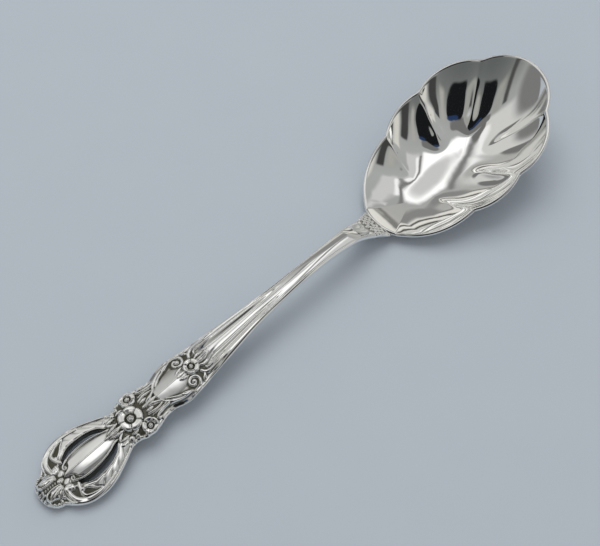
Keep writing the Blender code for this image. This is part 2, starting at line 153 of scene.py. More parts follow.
def pressed_bowl(share, fluted):
    """The inner face at shares of the way from the keel to the rim, as an array (share, turn, xyz)."""
    rim, place, ridge = bowl_rim()
    spine = np.stack((curve(SPINE, rim[:, 0]), np.zeros(len(rim))), axis=1)
    spine = (spine + spine[mirror_turns(len(rim))]) / 2
    reach = rim - spine
    length = np.linalg.norm(reach, axis=1)
    even = rounded(length, EVEN_ROUNDING)
    crisp = rounded(length, NOTCH_ROUNDING)
    s = share[:, None]
    fluting = ease(FLUTE_START, FLUTE_FULL, s - FLUTE_END_ROUNDING * place**2) * fluted
    ray = s * (even + (crisp - even) * fluting) / length
    x = spine[:, 0] + ray * reach[:, 0]
    y = ray * reach[:, 1]
    wall = np.maximum(0.0, curve(RIM_HEIGHT, rim[:, 0]) - curve(KEEL, rim[:, 0]))
    steep = curve(RIM_SHARE, rim[:, 0])
    z = curve(KEEL, x) + wall * ((1 - steep) * s ** curve(WALL_POWER, rim[:, 0]) + steep * s**RIM_POWER)
    sharpness = ease(RIDGE_START, RIDGE_CRISP, s)
    sharp = rounded(ridge, RIDGE_ROUNDING)
    soft = rounded(ridge, RIDGE_END_ROUNDING)
    ridge = sharp * sharpness + soft * (1 - sharpness)
    z += ridge * fluted * ease(RIDGE_START, RIDGE_FULL, s) * ease(1.0, RIDGE_FADE, s)
    return np.stack((x, y, z), axis=2)


def mirror_turns(count):
    """For each step of the rim, the step opposite it across the spoon's axis."""
    return (LOBES * LOBE_STEPS - np.arange(count)) % count


def in_frame(place):
    """A place in millimetres from the handle's tip, in the shared frame."""
    return (TIP_X + place[0] * MM, place[1] * MM, place[2] * MM)


def finished(bm, name, material):
    """The mesh as an object in the shared frame, smooth-shaded, welded and facing outwards."""
    bmesh.ops.remove_doubles(bm, verts=bm.verts[:], dist=WELD)
    bmesh.ops.dissolve_degenerate(bm, edges=bm.edges[:], dist=WELD)
    bmesh.ops.recalc_face_normals(bm, faces=bm.faces[:])
    mesh = bpy.data.meshes.new(name)
    bm.to_mesh(mesh)
    bm.free()
    mesh.shade_smooth()
    mesh.materials.append(material)
    made = bpy.data.objects.new(name, mesh)
    bpy.context.scene.collection.objects.link(made)
    return made


def bowl_shell():
    """A radial profile of both faces and the rounded rim is spun, then pressed to the fluted form."""
    turns = (LOBES + 1) * LOBE_STEPS  # the arc at the neck closes the rim
    profile = [(HUB + (1 - HUB) * i / INNER_RINGS, 0.0) for i in range(INNER_RINGS + 1)]
    for i in range(1, EDGE_RINGS):
        angle = math.pi * i / EDGE_RINGS
        profile.append((1 + math.sin(angle) / 2, (math.cos(angle) - 1) / 2))
    profile += [(HUB + (1 - HUB) * i / OUTER_RINGS, -1.0) for i in reversed(range(OUTER_RINGS + 1))]
    bm = bmesh.new()
    line = [bm.verts.new((r, 0.0, z)) for r, z in profile]
    edges = [bm.edges.new(pair) for pair in zip(line, line[1:])]
    bmesh.ops.spin(
        bm,
        geom=line + edges,
        axis=(0, 0, 1),
        cent=(0, 0, 0),
        angle=2 * math.pi,
        steps=turns,
        use_merge=True,
    )
    verts = bm.verts[:]
    spun = np.array([v.co for v in verts])
    radius = np.hypot(spun[:, 0], spun[:, 1])
    turn = np.round(np.arctan2(spun[:, 1], spun[:, 0]) / (2 * math.pi) * turns).astype(int) % turns
    share = np.round(np.clip((radius - HUB) / (1 - HUB), 0.0, 1.0), decimals=6)
    shares = np.unique(share)
    row = np.searchsorted(shares, share)
    face = pressed_bowl(shares, 1.0)
    plain = pressed_bowl(shares, 0.0)
    out = unit(np.gradient(plain, shares, axis=0))
    along = np.roll(plain, -1, axis=1) - np.roll(plain, 1, axis=1)
    along[0] = along[1]
    normal = unit(np.cross(out, along))
    normal *= np.sign(normal[..., 2:])
    normal[0, :, 1] = 0.0
    normal = unit(normal)
    places = face[row, turn] + WALL * spun[:, 2:] * normal[row, turn]
    places += WALL * np.maximum(0.0, radius - 1)[:, None] * out[row, turn]
    places[:, 2] = np.maximum(places[:, 2], 0.0)
    for vert, place in zip(verts, places):
        vert.co = in_frame(place)
    return bm


class Signal:
    """A shader socket that Python's operators act on, each of them adding a Math node to its tree."""

    def __init__(self, tree, socket=None):
        self.tree = tree
        self.socket = socket

    def node(self, kind, settings, sockets, output=0):
        """The output of a new node with these settings and inputs. "stops" fills a colour ramp."""
        made = self.tree.nodes.new(kind)
        for name, value in settings.items():
            if name == "stops":
                for i, (place, colour) in enumerate(value):
                    stop = made.color_ramp.elements[i] if i < 2 else made.color_ramp.elements.new(place)
                    stop.position = place
                    stop.color = colour
            else:
                setattr(made, name, value)
        for name, value in sockets.items():
            if isinstance(value, Signal):
                self.tree.links.new(value.socket, made.inputs[name])
            else:
                made.inputs[name].default_value = value
        return Signal(self.tree, made.outputs[output])

    def maths(self, operation, first, second):
        return self.node("ShaderNodeMath", {"operation": operation}, {0: first, 1: second})

    def mix(self, first, second):
        """The first colour where this signal is 0, and the second where it is 1."""
        return self.node("ShaderNodeMix", {"data_type": "RGBA"}, {"Factor": self, 6: first, 7: second}, 2)

    def __add__(self, other):
        return self.maths("ADD", self, other)

    __radd__ = __add__

    def __sub__(self, other):
        return self.maths("SUBTRACT", self, other)

    def __mul__(self, other):
        return self.maths("MULTIPLY", self, other)

    def __pow__(self, other):
        return self.maths("POWER", self, other)


def noise(tree, scale, detail, stretch=(1.0, 1.0, 1.0)):
    """Noise from 0 to 1 in the object's own coordinates, at a scale per metre."""
    start = Signal(tree)
    place = start.node("ShaderNodeTexCoord", {}, {}, "Object")
    place = start.node("ShaderNodeMapping", {}, {"Vector": place, "Scale": stretch})
    return start.node("ShaderNodeTexNoise", {}, {"Vector": place, "Scale": scale, "Detail": detail})


SILVER = (0.960, 0.957, 0.940, 1.0)
HANDLED_SILVER = (0.915, 0.910, 0.890, 1.0)
TARNISH = (0.115, 0.112, 0.086, 1.0)
POLISH_ROUGHNESS = 0.03
HANDLING_ROUGHNESS = 0.05
TARNISH_ROUGHNESS = 0.30
CLOUD = (220.0, 3.0)  # each noise's scale and detail
WAVE = (320.0, 1.0)
SCRATCH = (900.0, 4.0, (0.12, 1.6, 1.0))  # drawn out along the spoon
TARNISH_LEAST = 0.75
TARNISH_CLOUDING = 0.5
SCRATCH_DEPTH = 0.12  # share of the waves' depth
BUMP_STRENGTH = 0.05
BUMP_DEPTH = 0.0002


def silver(name, tarnished):
    """Polished silver with faint handling marks, and tarnish where the mesh's recess mask is high."""
    material = bpy.data.materials.new(name)
    material.use_nodes = True
    tree = material.node_tree
    shader = tree.nodes["Principled BSDF"]
    shader.inputs["Metallic"].default_value = 1.0
    start = Signal(tree)
    cloud = noise(tree, *CLOUD)
    scratch = noise(tree, *SCRATCH)
    handled = cloud * scratch
    colour = handled.mix(SILVER, HANDLED_SILVER)
    roughness = POLISH_ROUGHNESS + handled * HANDLING_ROUGHNESS
    if tarnished:
        recess = start.node("ShaderNodeAttribute", {"attribute_name": "recess"}, {}, "Fac")
        dark = recess * (TARNISH_LEAST + cloud * TARNISH_CLOUDING)
        dark = start.node("ShaderNodeClamp", {}, {"Value": dark})
        colour = dark.mix(colour, TARNISH)
        roughness = roughness + dark * TARNISH_ROUGHNESS
    tree.links.new(colour.socket, shader.inputs["Base Color"])
    tree.links.new(roughness.socket, shader.inputs["Roughness"])
    wave = noise(tree, *WAVE) + scratch * SCRATCH_DEPTH
    depths = {"Strength": BUMP_STRENGTH, "Distance": BUMP_DEPTH, "Height": wave}
    bump = start.node("ShaderNodeBump", {}, depths)
    tree.links.new(bump.socket, shader.inputs["Normal"])
    return material


bowl = finished(bowl_shell(), "fluted_bowl", silver("bright_silver", False))
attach(bowl, "root")
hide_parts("bowl")

# The handle: a silver blank struck between dies, which raise its scrolls, leaves and blossoms, then
# pierced with two slots beside the panel. The recesses keep a warm tarnish, and a short tongue past the
# neck is brazed under the bowl.
HALF_WIDTH = (  # finial, shoulders, waist, cluster, medallion, stem, neck and tongue
    (0.0, 0.0), (0.06, 0.8), (0.3, 1.85), (0.8, 2.95), (1.5, 3.8), (2.4, 4.4), (3.3, 4.6), (3.8, 5.0),
    (4.6, 5.95), (5.5, 6.8), (6.5, 7.5), (7.5, 8.0), (9.0, 8.45), (11.5, 8.7), (13.0, 8.55), (15.0, 8.1),
    (17.5, 7.15), (20.0, 6.0), (22.3, 5.0), (23.5, 4.85), (24.8, 5.25), (26.2, 5.75), (27.8, 5.95),
    (29.2, 5.65), (30.7, 5.15), (32.5, 4.75), (34.0, 4.65), (35.3, 4.95), (36.7, 5.4), (38.4, 5.65),
    (40.3, 5.5), (42.5, 5.25), (45.0, 4.85), (50.0, 4.25), (55.0, 3.6), (60.0, 3.0), (65.0, 2.6),
    (70.0, 2.28), (75.0, 2.08), (80.0, 2.0), (85.0, 2.08), (90.0, 2.32), (95.0, 2.75), (97.5, 3.2),
    (100.0, 3.95), (101.5, 4.5), (104.5, 3.5), (106.5, 2.2), (107.5, 0.0),
)
TOP = (
    (0.0, 1.7), (4.0, 2.4), (8.0, 3.05), (22.6, 4.75), (36.0, 5.95), (50.0, 6.85), (65.0, 8.3),
    (80.5, 9.3), (91.0, 8.6), (97.0, 5.6), (100.0, 4.0), (101.5, 3.0), (103.0, 2.05), (107.5, 1.1),
)
FALL = (  # of the face from its middle to its edge
    (0.0, 0.3), (4.5, 0.5), (8.0, 1.15), (20.0, 1.0), (26.0, 0.9), (34.0, 0.7), (42.0, 0.85),
    (50.0, 0.4), (60.0, 0.1), (107.5, 0.0),
)
FLANK = (  # extra slope of a band along the edge
    (22.0, 0.0), (31.0, 0.05), (33.5, 0.60), (36.0, 0.60), (38.5, 0.50), (40.0, 0.15), (46.0, 0.0),
)
FLANK_WIDTH = 1.0
BACK = (
    (0.0, -0.2), (22.6, 2.5), (50.0, 4.9), (80.5, 7.1), (91.0, 6.4), (101.5, 1.5), (104.5, 0.7),
    (107.5, 0.4),
)
EDGE_ROUND = (  # widths of the rounding along the face's edge, and below it along the back's
    (0.0, 0.45), (22.0, 0.45), (27.0, 0.6), (32.0, 0.6), (34.0, 0.22), (39.0, 0.22), (40.5, 0.55),
    (44.0, 0.5), (47.0, 0.45), (75.0, 0.45), (90.0, 0.5), (107.5, 0.6),
)
BACK_ROUND = 0.9
ROUND_LIMIT = 0.4  # share of the half-width that a rounding may take
WIDEST = (  # share of the way up its side at which the blank is widest
    (0.0, 0.6), (43.0, 0.6), (48.0, 0.80), (75.0, 0.80), (90.0, 0.6), (107.5, 0.6),
)
BEVEL = (  # how flat the side is cut above that, from 0 for round to 1
    (0.0, 0.0), (43.0, 0.0), (48.0, 0.9), (75.0, 0.9), (90.0, 0.0), (107.5, 0.0),
)
SLOT_INNER = (  # past the ends of the slots these two only guide the columns of the mesh
    (0.0, 0.0), (2.0, 1.8), (7.0, 2.3), (8.5, 2.75), (10.6, 3.3), (12.5, 3.45), (14.3, 3.35),
    (16.3, 3.05), (18.0, 2.6), (20.2, 1.9), (24.0, 2.2), (50.0, 1.7), (80.0, 0.62), (101.5, 1.9),
    (107.5, 0.0),
)
SLOT_WIDTH = (
    (0.0, 0.0), (2.0, 0.25), (8.2, 0.25), (9.3, 0.95), (12.0, 1.5), (16.0, 1.5), (18.8, 1.2),
    (20.4, 0.25), (24.0, 0.25), (50.0, 0.3), (80.0, 0.12), (101.5, 0.3), (107.5, 0.0),
)
SLOT_START = 8.5
SLOT_END = 20.2
ORNAMENT_ROWS = 436
STEM_ROWS = 52
NECK_ROWS = 108
ORNAMENT_LENGTH = 50.0
STEM_LENGTH = 90.0
BLANK_LENGTH = 107.5
COLUMNS = (27, 3, 32)  # of each side's top: to the slot, across it, and on to the edge
BACK_COLUMNS = (4, 3, 5)
SIDE_COLUMNS = 7
TIP_CROWDING = 1.12  # power by which the ornament's rows crowd towards the tip
TINY = 1e-6  # keeps a divisor off zero


def half_width(x):
    return curve(HALF_WIDTH, x)


def across(x, share, counts, edge):
    """Where columns lie: their shares run to the slot's inner edge, its outer edge and the side."""
    inner = curve(SLOT_INNER, x)
    outer = inner + curve(SLOT_WIDTH, x)
    first, second = np.cumsum(counts)[:2] / sum(counts)
    side = np.abs(share)
    in_slot = inner + (outer - inner) * (side - first) / (second - first)
    past_slot = outer + (edge - outer) * (side - second) / (1 - second)
    y = np.where(side < first, inner * side / first, np.where(side < second, in_slot, past_slot))
    return np.sign(share) * y


PATH_STEP = 0.15
PATH_LEAST = 4  # steps between two points of a line


def smooth_path(points):
    """A dense smooth line through given points, and each of its points' share of the way."""
    points = np.array(points, float)
    steps = np.linalg.norm(np.diff(points, axis=0), axis=1)
    count = max(PATH_LEAST, int(steps.sum() / PATH_STEP / len(steps)))
    padded = np.concatenate((2 * points[:1] - points[1:2], points, 2 * points[-1:] - points[-2:-1]))
    t = (np.arange(count) / count)[:, None]
    line = []
    for a, b, c, d in zip(padded, padded[1:], padded[2:], padded[3:]):
        bend = (2 * a - 5 * b + 4 * c - d) * t**2 + (3 * b - a - 3 * c + d) * t**3
        line.append(0.5 * (2 * b + (c - a) * t + bend))
    line = np.concatenate((*line, points[-1:]))
    along = np.concatenate(([0.0], np.cumsum(np.linalg.norm(np.diff(line, axis=0), axis=1))))
    return line, along / along[-1]


class Relief:
    """Heights struck on the face at points (x, y). Where two forms meet, the higher one stays."""

    STRIKE = 0.62  # share of the heights drawn below that the die raises
    RIDGE_FULLEST = 0.35  # share of the way along a ridge at which it is widest
    LEAF_TIP = 0.12  # width of a leaf's tip and depth of its lobes, as shares of its width
    LOBE_DEPTH = 0.20
    LOBE_SHIFT = 0.15  # of the lobes on each side of a leaf, in lobes
    VEIN_SWEEP = 0.55
    VEIN_DEPTH = 0.12  # of a leaf's veins and midrib, as shares of its height
    GROOVE_DEPTH = 0.20
    PETAL_START = 0.36  # shares of a blossom's radius
    PETAL_FULL = 0.47
    BOSS_RADIUS = 0.29
    BOSS_RISE = 1.30  # share of a blossom's height
    PETAL_ROLL = 0.20  # share of a petal's reach that rolls down at its edge
    PARTING_DEPTH = 0.50  # of the lines between petals and of the dimple in the boss
    DIMPLE_DEPTH = 0.30
    LINE_WIDTH = 0.07
    GRAIN_DEPTH = 0.15

    def __init__(self, x, y, height):
        self.x = x
        self.y = y
        self.height = height

    def near(self, low, high):
        """Index of the points between two corners."""
        inside = (self.x > low[0]) & (self.x < high[0]) & (self.y > low[1]) & (self.y < high[1])
        return np.nonzero(inside)

    def measure(self, points, margin):
        """Points near a line: their index, distance from it, side of it and share of the way along it."""
        line, share = smooth_path(points)
        at = self.near(line.min(axis=0) - margin, line.max(axis=0) + margin)
        place = np.stack((self.x[at], self.y[at]), axis=1)
        best = np.full(len(place), np.inf)
        along = np.zeros(len(place))
        hand = np.zeros(len(place))
        for a, b, s, e in zip(line, line[1:], share, share[1:]):
            way = b - a
            t = np.clip((place - a) @ way / (way @ way), 0.0, 1.0)
            gap = place - a - t[:, None] * way
            distance = np.hypot(gap[:, 0], gap[:, 1])
            closer = distance < best
            best = np.where(closer, distance, best)
            along = np.where(closer, s + (e - s) * t, along)
            hand = np.where(closer, np.sign(way[0] * gap[:, 1] - way[1] * gap[:, 0]), hand)
        return at, best, hand, along

    def raise_to(self, at, height):
        """Raise the points of an index to drawn heights."""
        self.height[at] = np.maximum(self.height[at], self.STRIKE * height)

    def lift(self, heights):
        """Raise the whole face to the given heights, which are struck as they are."""
        self.height = np.maximum(self.height, heights)

    def ridge(self, points, width, height, start=1.0, end=0.5, power=0.33):
        """A rounded moulding along a line, with its width scaled at its start and end."""
        at, distance, _, along = self.measure(points, width)
        swell = np.interp(along, (0.0, self.RIDGE_FULLEST, 1.0), (start, 1.0, end))
        form = np.maximum(0.0, 1 - (distance / (width * swell)) ** 2) ** power
        self.raise_to(at, height * (0.5 + 0.5 * swell) * form)

    def leaf(self, points, width, height, lobes, fullest=0.4, blunt=0.3):
        """A leaf along its midrib: lobed edges, flat cheeks, a middle groove and a vein to each lobe."""
        at, distance, hand, along = self.measure(points, width)
        outline = np.interp(along, (0.0, fullest, 1.0), (blunt, 1.0, self.LEAF_TIP)) ** 0.8
        beat = lobes * along + self.LOBE_SHIFT * hand
        lobed = 1 - self.LOBE_DEPTH + self.LOBE_DEPTH * np.abs(np.sin(math.pi * beat)) ** 0.7
        half = width * outline * lobed
        share = np.minimum(1.0, distance / half)
        body = np.maximum(0.0, 1 - share**2.6) ** 0.33
        veins = 0.5 + 0.5 * np.cos(2 * math.pi * (beat - self.VEIN_SWEEP * share))
        groove_width = 0.10 * width + 0.05
        groove = np.exp(-((distance / groove_width) ** 2))
        cut = 1 - self.VEIN_DEPTH * veins * share - self.GROOVE_DEPTH * groove
        self.raise_to(at, height * body * cut)

    def ball(self, x, y, radius, height, long=1.0):
        """A bead, or a bud where it is longer than wide."""
        at = self.near((x - radius * long, y - radius), (x + radius * long, y + radius))
        reach = ((self.x[at] - x) / (radius * long)) ** 2 + ((self.y[at] - y) / radius) ** 2
        self.raise_to(at, height * np.maximum(0.0, 1 - reach) ** 0.42)

    def blossom(self, x, y, radius, height, petals, turn):
        """Cupped petals round a sunk ring, with a boss of small grains in the middle."""
        at = self.near((x - radius, y - radius), (x + radius, y + radius))
        dx, dy = self.x[at] - x, self.y[at] - y
        reach = np.hypot(dx, dy) / radius
        angle = np.arctan2(dy, dx) - turn
        middle = np.abs(np.cos(petals * angle / 2))
        edge = 0.88 + 0.12 * middle**0.5
        cup = ease(self.PETAL_START, self.PETAL_FULL, reach) * (0.80 + 0.20 * ease(0.45, 0.80, reach))
        past = np.maximum(0.0, reach / edge - (1 - self.PETAL_ROLL)) / self.PETAL_ROLL
        rolled = np.sqrt(np.maximum(0.0, 1 - past**2))
        parting = 1 - self.PARTING_DEPTH * np.exp(-((middle * reach / self.LINE_WIDTH) ** 2))
        petal = np.where(reach < edge, cup * rolled * parting, 0.0)
        grains = 1 - self.GRAIN_DEPTH + self.GRAIN_DEPTH * np.cos(petals * angle) * ease(0.04, 0.16, reach)
        grains -= self.DIMPLE_DEPTH * np.exp(-((reach / self.LINE_WIDTH) ** 2))
        dome = np.maximum(0.0, 1 - (reach / self.BOSS_RADIUS) ** 2) ** 0.35
        boss = self.BOSS_RISE * dome * grains
        self.raise_to(at, height * np.maximum(petal, boss))


CREST = (  # height of the middle ridge of the panel and of the medallion's field
    (6.6, 0.84), (8.5, 0.86), (20.0, 0.42), (23.0, 0.36), (32.5, 0.62), (36.0, 0.58), (42.0, 0.52),
)
FINE_RIDGE = 0.05  # height and half-width of the bead on that ridge
FINE_RIDGE_HALF = 0.16
FIELD_EDGE = 0.2
PANEL_HALF = (
    (6.8, 0.0), (7.5, 0.55), (8.3, 0.85), (8.9, 1.3), (9.4, 2.25), (10.6, 2.78), (12.5, 2.96),
    (14.3, 2.87), (16.3, 2.57), (18.0, 2.12), (20.2, 1.4), (21.6, 0.9), (22.4, 0.0),
)
FIELD_HALF = (
    (32.6, 0.0), (33.1, 1.5), (35.0, 2.4), (37.0, 2.85), (38.6, 2.9), (40.0, 2.45), (41.0, 1.6),
    (41.8, 0.0),
)
MOULDING_HALF = 0.27  # of the moulding round the panel
MOULDING_RISE = 0.52
PANEL_GROUND = 0.05  # height of the floor beside the panel
FILLET_HALF = 0.19  # of the fillet along the outside of each slot
FILLET_RISE = 0.36
RIM_INSET = 0.45  # of the rim's moulding from the outline
RIM_WIDTH = 0.20
RIM_RISE = 0.34
GROUND = 0.22  # how far the ground between the forms is sunk
CROWN_RISE = 1.35  # of the finial's middle at the tip, and its fall with each millimetre
CROWN_FALL = 0.15
BAND_PITCH = 2.5  # of the leaves along the band outside each slot, and how far each leans
BAND_LEAN = 2.6
BAND_PHASE = 11.4
BAND_START = 8.8  # on the line this far out, and how the start slants outwards of it
BAND_START_SIDE = 4.75
BAND_SLANT = 1.2
BAND_END = (22.9, 22.4)
BAND_RISE = 0.32
BAND_SWELL = 0.12
BAND_SLOT_GAP = 0.38
BAND_RIM_GAP = 0.62


def plain_field(x, y, halves, slope, bow, lip, level):
    """A plain field that falls from a fine ridge in two bowed slopes, which roll over near its border."""
    side = np.abs(y)
    fall = slope * side - bow * side**2 + lip * np.maximum(0.0, side - level) ** 2
    slopes = curve(CREST, x) - fall + FINE_RIDGE * ease(FINE_RIDGE_HALF, 0.0, side)
    half = curve(halves, x)
    return slopes * ease(half, half - FIELD_EDGE, side) * (half > 0)


def leaf_band(x, side):
    """Overlapping leaves that lean forwards, from the slot's outer edge to the rim."""
    inner = curve(SLOT_INNER, x) + curve(SLOT_WIDTH, x) + BAND_SLOT_GAP
    outer = half_width(x) - BAND_RIM_GAP
    share = (side - inner) / np.maximum(outer - inner, TINY)
    lean = BAND_LEAN * np.clip(1 - share, 0.0, 1.2) ** 1.5
    lap = ((x - lean - BAND_PHASE) / BAND_PITCH) % 1.0
    body = np.maximum(0.0, 1 - np.abs(2 * share - 1 + 0.10 * np.sin(math.pi * lap)) ** 6) ** 0.5
    puff = np.sin(math.pi * lap) ** 0.45 * (0.7 + 0.3 * lap)
    swell = BAND_SWELL * (puff - 0.7) * ease(0.10, 0.55, share)
    begin = BAND_START + BAND_SLANT * (side - BAND_START_SIDE)
    return (BAND_RISE + swell) * body * ease(begin, begin + 0.35, x) * ease(*BAND_END, x)


def struck_relief(x, y):
    """Heights of the die's ornament over the plate's own top. The two sides mirror each other."""
    side = np.abs(y)
    edge = half_width(x) - side
    relief = Relief(x, side, np.zeros_like(x))
    ornamented = ease(0.0, 0.8, x) * ease(50.0, 45.0, x)

    # Shell finial: a row of beads between two leaves with rolled edges, and small lobes round the rim.
    relief.leaf(((4.9, 1.45), (3.9, 1.65), (2.8, 1.95), (1.6, 2.4)), 1.25, 1.25, 2.5, 0.6, 0.5)
    relief.leaf(((4.5, 2.6), (3.8, 3.0), (3.1, 3.35)), 0.5, 0.95, 1.0, 0.5, 0.5)
    relief.ridge(
        ((5.2, 0.95), (3.9, 0.8), (2.6, 0.78), (1.6, 1.05), (1.1, 1.7), (1.25, 2.35)),
        0.30, 1.55, 0.8, 0.8,
    )
    lobes = (0.45, 0.5), (0.55, 1.35), (0.9, 2.75), (1.6, 3.35), (2.4, 3.75), (3.3, 3.8), (4.2, 3.5)
    for lobe_x, lobe_y in lobes:
        relief.ball(lobe_x, lobe_y, 0.42, 1.0)
    for bead in range(6):
        relief.ball(1.35 + 0.62 * bead, 0.0, 0.27, 1.35)
    relief.ball(5.75, 0.0, 0.55, 0.85, 1.7)
    relief.ball(6.9, 1.25, 0.95, 0.40)

    # Scroll at each shoulder: a rolled head, its back along the edge, and a second roll inside it.
    relief.ridge(
        ((6.8, 3.1), (6.75, 2.6), (6.2, 2.3), (5.65, 2.55), (5.4, 3.2), (5.35, 4.0), (5.5, 5.0),
         (6.0, 5.95), (6.85, 6.8), (8.0, 7.4), (9.6, 7.75), (11.4, 7.85), (13.2, 7.6), (15.5, 7.0)),
        0.78, 1.0, 0.8, 0.5, 0.4,
    )
    relief.ridge(
        ((5.3, 1.85), (4.65, 2.6), (4.45, 3.6), (4.5, 4.6), (4.95, 5.7), (5.8, 6.75), (7.0, 7.5),
         (8.6, 8.05), (10.6, 8.3), (12.6, 8.15)),
        0.26, 0.70, 0.6, 0.5,
    )
    relief.ball(6.25, 2.8, 0.72, 1.15)
    relief.ridge(
        ((8.3, 3.2), (8.0, 3.8), (7.75, 4.6), (7.55, 5.5), (7.85, 6.3), (8.8, 6.85), (10.1, 7.25),
         (11.6, 7.45)),
        0.48, 0.95, 0.9, 0.5, 0.4,
    )
    relief.ball(8.05, 4.75, 0.58, 1.05)
    relief.ball(8.3, 3.3, 0.42, 0.90)

    # Leaf band outside each slot, the lip at its start, the fillet along the slot and the moulded rim.
    relief.lift(leaf_band(x, side))
    relief.ridge(((8.6, 4.7), (9.6, 5.4), (10.5, 6.35), (11.7, 7.3)), 0.27, 0.80, 0.9, 0.7)
    slot_inner = curve(SLOT_INNER, x)
    slot_outer = slot_inner + curve(SLOT_WIDTH, x)
    slotted = ease(8.4, 9.6, x) * ease(20.9, 19.6, x)
    fillet = np.sqrt(np.maximum(0.0, 1 - ((side - slot_outer - FILLET_HALF) / FILLET_HALF) ** 2))
    relief.lift(FILLET_RISE * slotted * fillet)
    rim = np.exp(-(((edge - RIM_INSET) / RIM_WIDTH) ** 2)) * ease(10.5, 13.0, x) * ease(23.0, 21.0, x)
    relief.lift(RIM_RISE * rim)

    # Panel between the slots: two slopes from a middle ridge, in a moulding that ends in volutes.
    panelled = ease(8.4, 9.2, x) * ease(21.4, 19.6, x)
    across_moulding = (side - slot_inner + MOULDING_HALF) / MOULDING_HALF
    moulding = np.maximum(0.0, 1 - across_moulding**2) ** 0.35
    relief.lift(MOULDING_RISE * panelled * moulding)
    relief.lift(PANEL_GROUND * panelled * (side < slot_inner))
    relief.lift(plain_field(x, y, PANEL_HALF, slope=0.14, bow=0.0, lip=0.07, level=1.6))
    relief.ridge(
        ((8.5, 1.3), (8.1, 1.15), (7.75, 1.5), (7.95, 2.05), (8.6, 2.4), (9.4, 2.8)),
        0.25, 0.95, 0.9, 1.0,
    )
    relief.ball(8.4, 1.6, 0.30, 1.0)
    relief.leaf(((22.8, 0.0), (20.6, 0.0), (18.3, 0.0)), 0.62, 1.50, 3.0)
    relief.leaf(((22.6, 1.15), (21.0, 0.95), (19.2, 0.55)), 0.42, 1.35, 3.0)

    # Leaf tufts and buds under the great blossom.
    relief.leaf(((20.5, 2.55), (21.2, 1.85), (22.2, 1.4)), 0.40, 1.10, 2.0)
    relief.leaf(((20.8, 2.75), (21.8, 2.75), (23.0, 2.7)), 0.42, 1.00, 2.0)
    relief.leaf(((20.2, 3.45), (21.2, 3.6), (22.2, 3.6)), 0.45, 0.80, 2.0)
    relief.ball(21.9, 4.55, 0.50, 0.75)
    relief.ball(22.9, 3.7, 0.75, 1.0)
    relief.leaf(((23.6, 2.95), (24.5, 3.15), (25.4, 3.1)), 0.42, 0.85, 2.0)
    relief.ball(24.3, 4.0, 0.50, 0.85, 1.2)
    relief.ball(24.7, 4.75, 0.40, 0.70, 1.3)

    # Sprays from the blossoms to the medallion, and the calyx at the start of its field.
    relief.leaf(((29.2, 0.0), (31.0, 0.0), (33.2, 0.0)), 0.55, 1.35, 1.0, 0.6, 0.5)
    relief.ridge(((30.4, 0.55), (31.3, 0.75), (32.2, 1.1), (33.3, 1.7)), 0.46, 1.25, 0.5, 0.6)
    relief.leaf(((30.9, 1.35), (30.0, 1.3), (29.0, 1.2)), 0.42, 1.15, 1.0)
    relief.ridge(((29.2, 1.9), (30.6, 2.2), (32.0, 2.15), (33.6, 1.75)), 0.34, 1.0, 0.8, 0.4)
    relief.ridge(((29.7, 2.75), (31.8, 2.78), (34.0, 2.55)), 0.17, 0.85, 0.8, 0.8)
    relief.ridge(
        ((34.0, 3.1), (32.4, 3.15), (31.0, 3.4), (30.2, 3.85), (30.7, 4.25), (32.0, 4.25), (33.4, 4.05)),
        0.32, 1.15, 0.7, 0.6,
    )

    # Medallion: a plain field between bending leaves, with a volute at each far corner.
    relief.lift(plain_field(x, y, FIELD_HALF, slope=0.225, bow=0.015, lip=0.05, level=2.2))
    relief.ridge(((33.6, 2.9), (34.8, 3.95), (36.4, 4.7), (38.0, 5.0)), 0.45, 0.60, 0.7, 0.5)
    relief.ridge(
        ((33.3, 1.9), (34.4, 2.95), (35.8, 3.85), (37.4, 4.4), (38.8, 4.6)), 0.55, 0.90, 0.6, 0.5
    )
    relief.ridge(((34.2, 1.95), (35.1, 2.6), (36.3, 3.25), (37.6, 3.65)), 0.36, 0.95, 0.5, 0.6)
    relief.leaf(((37.4, 3.6), (38.5, 4.1), (39.9, 4.4)), 0.62, 0.90, 2.5)
    relief.ridge(
        ((39.2, 4.65), (40.3, 4.75), (41.5, 4.6), (42.4, 4.05), (42.75, 3.2), (42.4, 2.35),
         (41.45, 1.95), (40.55, 2.3), (40.25, 3.0), (40.55, 3.6), (41.1, 3.75)),
        0.38, 0.80, 0.6, 0.8,
    )
    relief.ball(41.4, 3.1, 0.62, 0.90)
    relief.leaf(((38.8, 0.0), (40.1, 0.0), (41.4, 0.0)), 0.50, 1.10, 2.0)
    relief.leaf(((39.3, 0.8), (40.3, 1.1), (41.4, 1.35)), 0.42, 1.00, 2.0)
    relief.leaf(((43.2, 4.4), (43.9, 3.8), (44.5, 3.0)), 0.52, 0.75, 2.0)

    # Calyx that opens the stem, and the loops that run on as its outer ribs.
    relief.leaf(((44.4, 0.0), (46.2, 0.0), (48.2, 0.0)), 0.75, 1.0, 2.0, 0.5, 0.8)
    relief.ridge(((44.8, 1.05), (45.7, 1.4), (47.0, 1.25), (48.6, 0.9)), 0.36, 0.80, 0.8, 0.05)
    relief.ridge(((44.2, 2.2), (44.7, 3.0), (45.8, 3.5), (48.0, 3.55), (51.0, 3.3)), 0.55, 0.75, 0.7, 0.3)
    relief.ridge(((45.6, 2.1), (45.9, 2.65), (47.2, 2.75), (50.5, 2.35)), 0.36, 0.65, 0.7, 0.1)

    # Great blossom over the waist with a smaller one to each side, and one that crowns the medallion.
    relief.blossom(27.8, 4.15, 2.05, 1.05, 5, -0.07)
    centre = Relief(x, y, relief.height)
    centre.blossom(25.5, 0.0, 3.05, 1.40, 5, 1.03)
    centre.blossom(43.05, 0.0, 2.05, 1.30, 5, 0.3)

